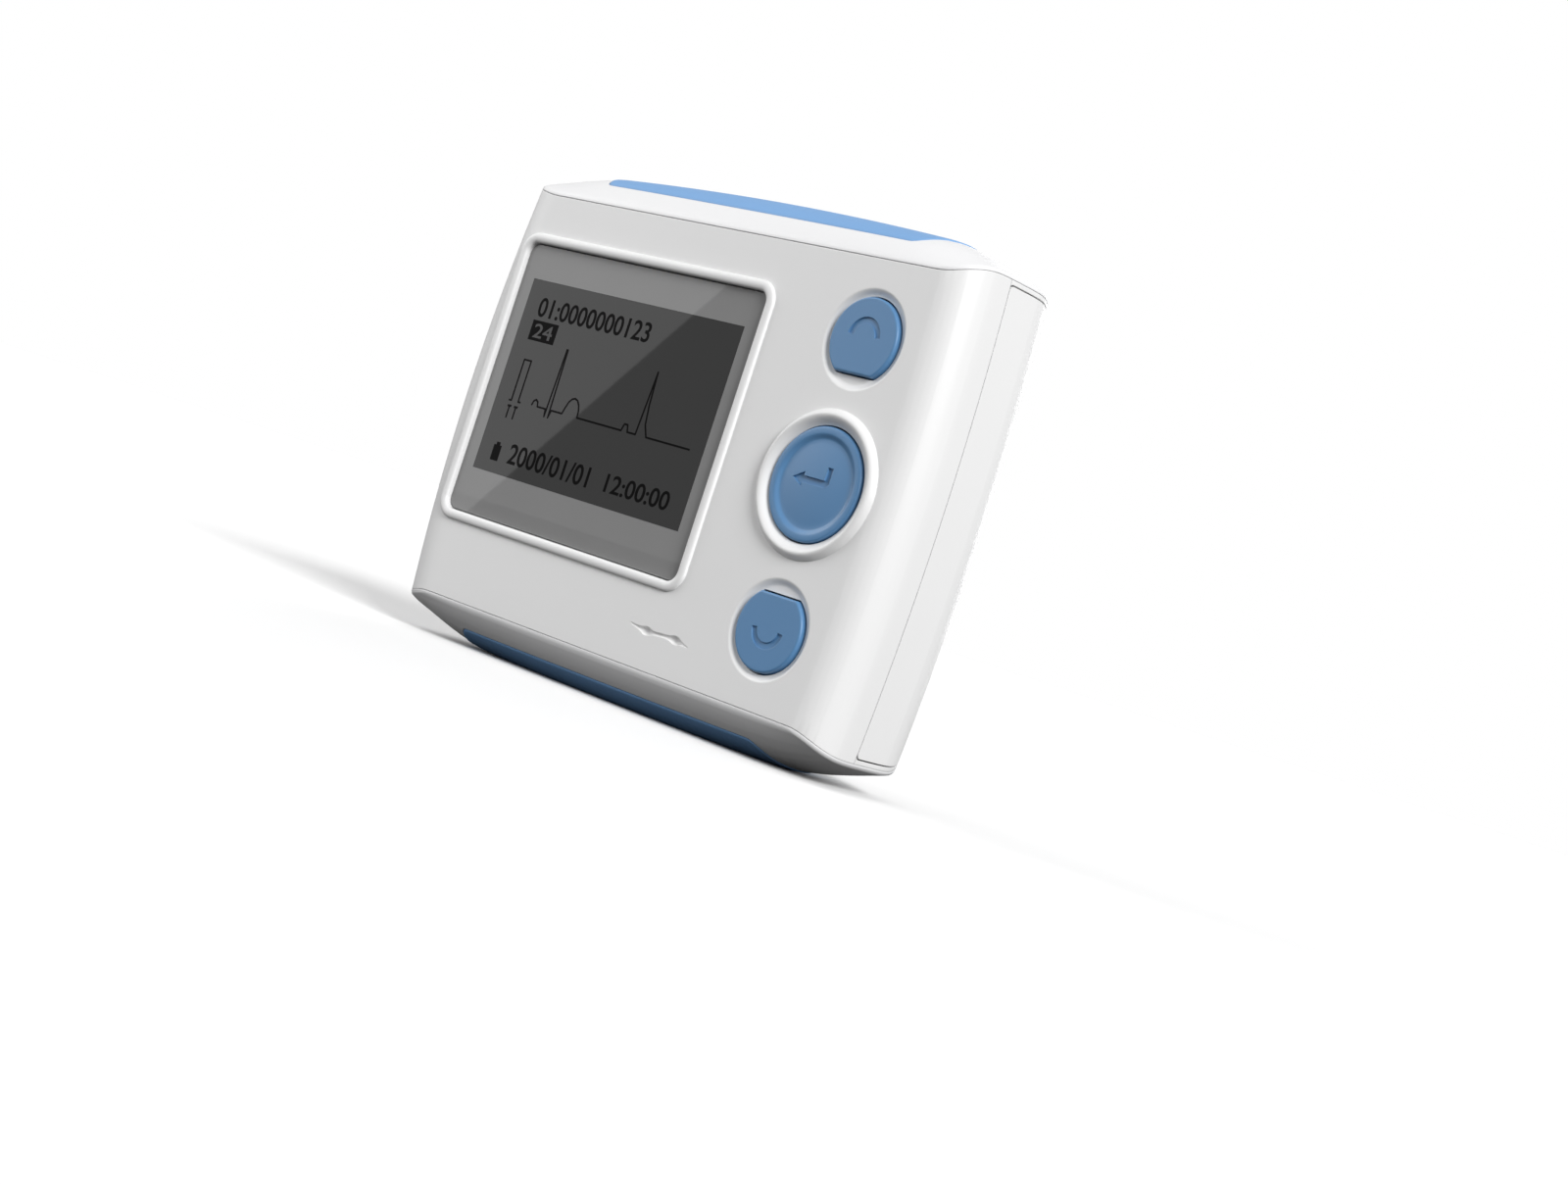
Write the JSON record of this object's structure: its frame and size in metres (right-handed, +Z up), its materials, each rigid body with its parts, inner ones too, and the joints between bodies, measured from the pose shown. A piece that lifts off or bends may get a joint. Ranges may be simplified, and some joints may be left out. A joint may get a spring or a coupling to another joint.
{
  "type": "holter monitor",
  "caption": "Pocket heart recorder with a display, three keys, rounded end caps with inset trims, a sliding battery door and a side cable socket.",
  "frame": {"origin": "middle of the flat land on the lower trim, on which the recorder stands upright", "axes": "+Z up, the display and keys face -Y, +X towards the battery door"},
  "size_m": [0.0808, 0.0198, 0.0663],
  "materials": {
    "housing_plastic": "fine matt white moulding",
    "cap_plastic": "fine matt white moulding",
    "trim_plastic": "satin blue",
    "key_plastic": "satin blue",
    "window_plastic": "clear window with a grey border, polished",
    "display_glass": "dark digits on a grey ground",
    "backlight_plastic": "black",
    "gasket_rubber": "black foam rubber",
    "board_laminate": "green solder mask",
    "chip_plastic": "black moulding",
    "steel": "nickel plated",
    "contact_gold": "gold plated",
    "flex_film": "amber film",
    "coil_ferrite": "grey ferrite",
    "switch_plastic": "black",
    "plunger_plastic": "cream",
    "cell_jacket": "plain grey film over steel"
  },
  "bodies": {
    "housing": {"front_shell": "housing_plastic", "rear_shell": "housing_plastic", "upper_cap": "cap_plastic", "lower_cap": "cap_plastic", "upper_trim": "trim_plastic", "lower_trim": "trim_plastic", "display_window": "window_plastic", "display_gasket": "gasket_rubber", "display_glass": "display_glass", "display_backlight": "backlight_plastic", "display_flex": "flex_film", "flex_plug": "chip_plastic", "up_switch": "switch_plastic", "enter_switch": "switch_plastic", "down_switch": "switch_plastic", "main_board": "board_laminate", "signal_board": "board_laminate", "board_header": "chip_plastic", "main_chip": "chip_plastic", "memory_chip": "chip_plastic", "signal_chip": "chip_plastic", "crystal": "steel", "supply_coil": "coil_ferrite", "buzzer": "chip_plastic", "backup_cell": "steel", "cable_socket": "chip_plastic", "cable_socket_tongue": "contact_gold", "usb_socket": "steel", "usb_socket_tongue": "chip_plastic", "upper_left_screw": "steel", "upper_screw_plug": "housing_plastic", "lower_left_screw": "steel", "lower_screw_plug": "housing_plastic", "upper_right_screw": "steel", "lower_right_screw": "steel", "battery": "cell_jacket", "battery_plus_contact": "steel", "battery_minus_contact": "steel", "battery_spring": "steel"},
    "door": {"battery_door": "housing_plastic"},
    "up_button": {"up_key": "key_plastic", "up_plunger": "plunger_plastic"},
    "enter_button": {"enter_key": "key_plastic", "enter_plunger": "plunger_plastic"},
    "down_button": {"down_key": "key_plastic", "down_plunger": "plunger_plastic"}
  },
  "joints": [
    {"name": "up_press", "type": "slide", "parent": "housing", "child": "up_button", "axis": [0, 1, 0], "range_m": [0, 0.0006], "stiffness_N_per_m": 600, "springref_m": -0.0005},
    {"name": "enter_press", "type": "slide", "parent": "housing", "child": "enter_button", "axis": [0, 1, 0], "range_m": [0, 0.0006], "stiffness_N_per_m": 600, "springref_m": -0.0005},
    {"name": "down_press", "type": "slide", "parent": "housing", "child": "down_button", "axis": [0, 1, 0], "range_m": [0, 0.0006], "stiffness_N_per_m": 600, "springref_m": -0.0005},
    {"name": "door_slide", "type": "slide", "parent": "housing", "child": "door", "axis": [1, 0, 0], "range_m": [0, 0.016]}
  ]
}
